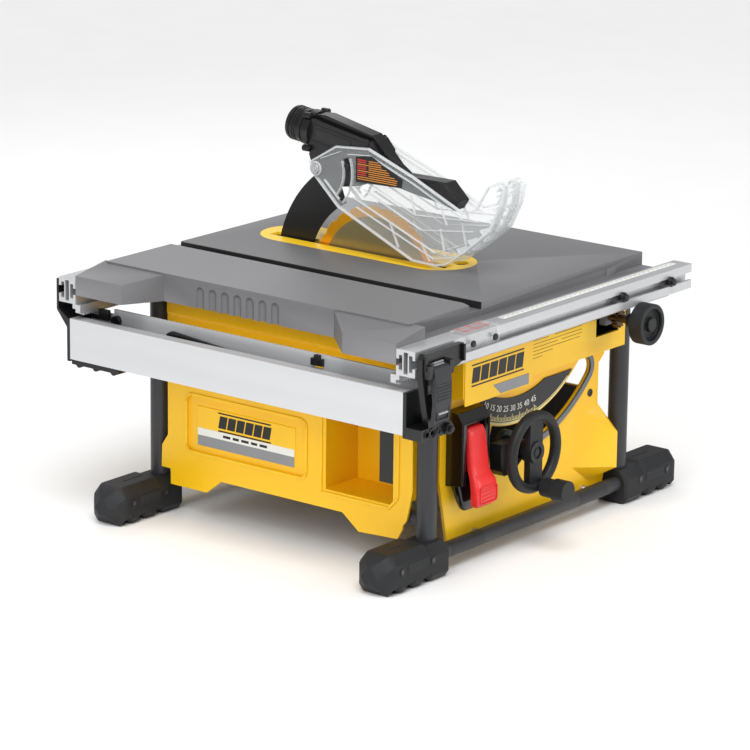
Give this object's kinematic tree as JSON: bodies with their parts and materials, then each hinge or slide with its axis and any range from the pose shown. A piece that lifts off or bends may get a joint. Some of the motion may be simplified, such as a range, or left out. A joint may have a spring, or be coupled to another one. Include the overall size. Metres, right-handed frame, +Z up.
{
  "type": "table saw",
  "caption": "Compact bench table saw: tilting blade with riving knife and clear guard, geared sliding rails, a stowed rip fence, four tube legs and broad feet.",
  "frame": {"origin": "on the floor, midway between the four legs", "axes": "+X to the operator's right, +Y away from the operator, +Z up"},
  "size_m": [0.628, 0.616, 0.5044],
  "materials": {
    "table_metal": "satin, sealed machined top",
    "housing_yellow": "fine moulded texture",
    "frame_paint": "satin powder coat",
    "foot_plastic": "grained",
    "rail_aluminium": "satin anodised",
    "black_plastic": "fine grain",
    "grey_rubber": "soft matt",
    "red_plastic": "semi-gloss",
    "green_plastic": "semi-gloss",
    "clear_plastic": "clear",
    "insert_yellow": "satin",
    "knife_black": "satin",
    "steel": "machined",
    "cast_metal": "as cast",
    "motor_grey": "satin"
  },
  "bodies": {
    "stand": {"table_top": "table_metal", "throat_plate": "insert_yellow", "trunnions": "cast_metal", "rail_guides": "black_plastic", "leg_front_left": "frame_paint", "leg_front_right": "frame_paint", "leg_rear_left": "frame_paint", "leg_rear_right": "frame_paint", "tube_front": "frame_paint", "tube_rear": "frame_paint", "tube_left": "frame_paint", "tube_right": "frame_paint", "foot_front_left": "foot_plastic", "foot_front_right": "foot_plastic", "foot_rear_left": "foot_plastic", "foot_rear_right": "foot_plastic", "frame_screws": "steel", "housing_front": "housing_yellow", "housing_left": "housing_yellow", "housing_right": "housing_yellow", "housing_rear": "housing_yellow", "bevel_scale": "black_plastic", "slot_rim": "cast_metal", "switch_box": "black_plastic", "control_module": "black_plastic", "battery_dock": "black_plastic", "dust_port": "black_plastic"},
    "rails": {"rail_front": "rail_aluminium", "rail_rear": "rail_aluminium", "scale_cursor": "clear_plastic"},
    "knob": {"pinion_shaft": "steel", "rail_knob": "grey_rubber"},
    "fence": {"fence_face": "rail_aluminium", "fence_beam": "rail_aluminium", "fence_head_front": "black_plastic", "fence_head_rear": "black_plastic", "push_stick": "black_plastic"},
    "front_latch": {"latch_front": "grey_rubber"},
    "paddle": {"stop_paddle": "red_plastic"},
    "button": {"start_button": "green_plastic"},
    "tilt": {"bevel_carriage": "cast_metal", "riving_knife": "knife_black", "guard_body": "black_plastic"},
    "lift": {"lift_carriage": "cast_metal", "motor": "motor_grey", "gear_case": "cast_metal", "dust_shroud": "black_plastic"},
    "blade": {"arbor": "steel", "saw_blade": "steel", "blade_flanges": "steel"},
    "wheel": {"height_wheel": "grey_rubber"},
    "crank": {"crank_handle": "grey_rubber"},
    "screw": {"lead_screw": "steel"},
    "lever": {"bevel_lever": "black_plastic"},
    "guard_pin": {"shield_pin": "steel"},
    "left_shield": {"shield_left": "clear_plastic"},
    "right_shield": {"shield_right": "clear_plastic"}
  },
  "joints": [
    {"name": "rails_slide", "type": "slide", "parent": "stand", "child": "rails", "axis": [1, 0, 0], "range_m": [0, 0.28]},
    {"name": "knob_spin", "type": "hinge", "parent": "stand", "child": "knob", "pos_m": [0.149, -0.2, 0.259], "axis": [0, 1, 0], "range_deg": [0, 1530]},
    {"name": "fence_slide", "type": "slide", "parent": "stand", "child": "fence", "axis": [-1, 0, 0], "range_m": [0, 0.12]},
    {"name": "front_latch_swing", "type": "hinge", "parent": "fence", "child": "front_latch", "pos_m": [-0.287, -0.294, 0.29], "axis": [-1, 0, 0], "range_deg": [0, 60]},
    {"name": "paddle_swing", "type": "hinge", "parent": "stand", "child": "paddle", "pos_m": [-0.128, -0.222, 0.172], "axis": [-1, 0, 0], "range_deg": [-2, 40], "stiffness_Nm_per_rad": 0.6, "springref_deg": 0.86},
    {"name": "button_press", "type": "slide", "parent": "stand", "child": "button", "axis": [0, 1, 0], "range_m": [0, 0.004], "stiffness_N_per_m": 400},
    {"name": "bevel_tilt", "type": "hinge", "parent": "stand", "child": "tilt", "pos_m": [-0.009, 0, 0.33], "axis": [0, -1, 0], "range_deg": [0, 45]},
    {"name": "wheel_spin", "type": "hinge", "parent": "tilt", "child": "wheel", "pos_m": [-0.04723, -0.258, 0.12961], "axis": [0, -1, 0], "range_deg": [0, 4700]},
    {"name": "blade_lift", "type": "slide", "parent": "tilt", "child": "lift", "axis": [0, 0, 1], "range_m": [-0.065, 0]},
    {"name": "screw_spin", "type": "hinge", "parent": "tilt", "child": "screw", "pos_m": [-0.04723, -0.106, 0.2], "axis": [0, 0, 1], "range_deg": [0, 4700]},
    {"name": "blade_spin", "type": "hinge", "parent": "lift", "child": "blade", "pos_m": [-0.009, 0.018, 0.29], "axis": [1, 0, 0], "continuous": true},
    {"name": "crank_spin", "type": "hinge", "parent": "wheel", "child": "crank", "pos_m": [-0.03623, -0.29, 0.08361], "axis": [0, 1, 0], "continuous": true},
    {"name": "lever_turn", "type": "hinge", "parent": "tilt", "child": "lever", "pos_m": [-0.04723, -0.235, 0.12961], "axis": [0, 1, 0], "range_deg": [0, 30]},
    {"name": "shield_follow", "type": "hinge", "parent": "tilt", "child": "guard_pin", "pos_m": [-0.009, 0.099, 0.433], "axis": [-1, 0, 0], "range_deg": [0, 14]},
    {"name": "left_shield_swing", "type": "hinge", "parent": "guard_pin", "child": "left_shield", "pos_m": [-0.031, 0.099, 0.433], "axis": [-1, 0, 0], "range_deg": [0, 32]},
    {"name": "right_shield_swing", "type": "hinge", "parent": "guard_pin", "child": "right_shield", "pos_m": [0.013, 0.099, 0.433], "axis": [-1, 0, 0], "range_deg": [0, 32]}
  ],
  "couplings": [
    {"joint": "knob_spin", "follows": "rails_slide", "rad_per_m": 95.238},
    {"joint": "wheel_spin", "follows": "blade_lift", "rad_per_m": -1256.6},
    {"joint": "screw_spin", "follows": "blade_lift", "rad_per_m": -1256.6},
    {"joint": "shield_follow", "follows": "bevel_tilt", "ratio": 0.3}
  ]
}
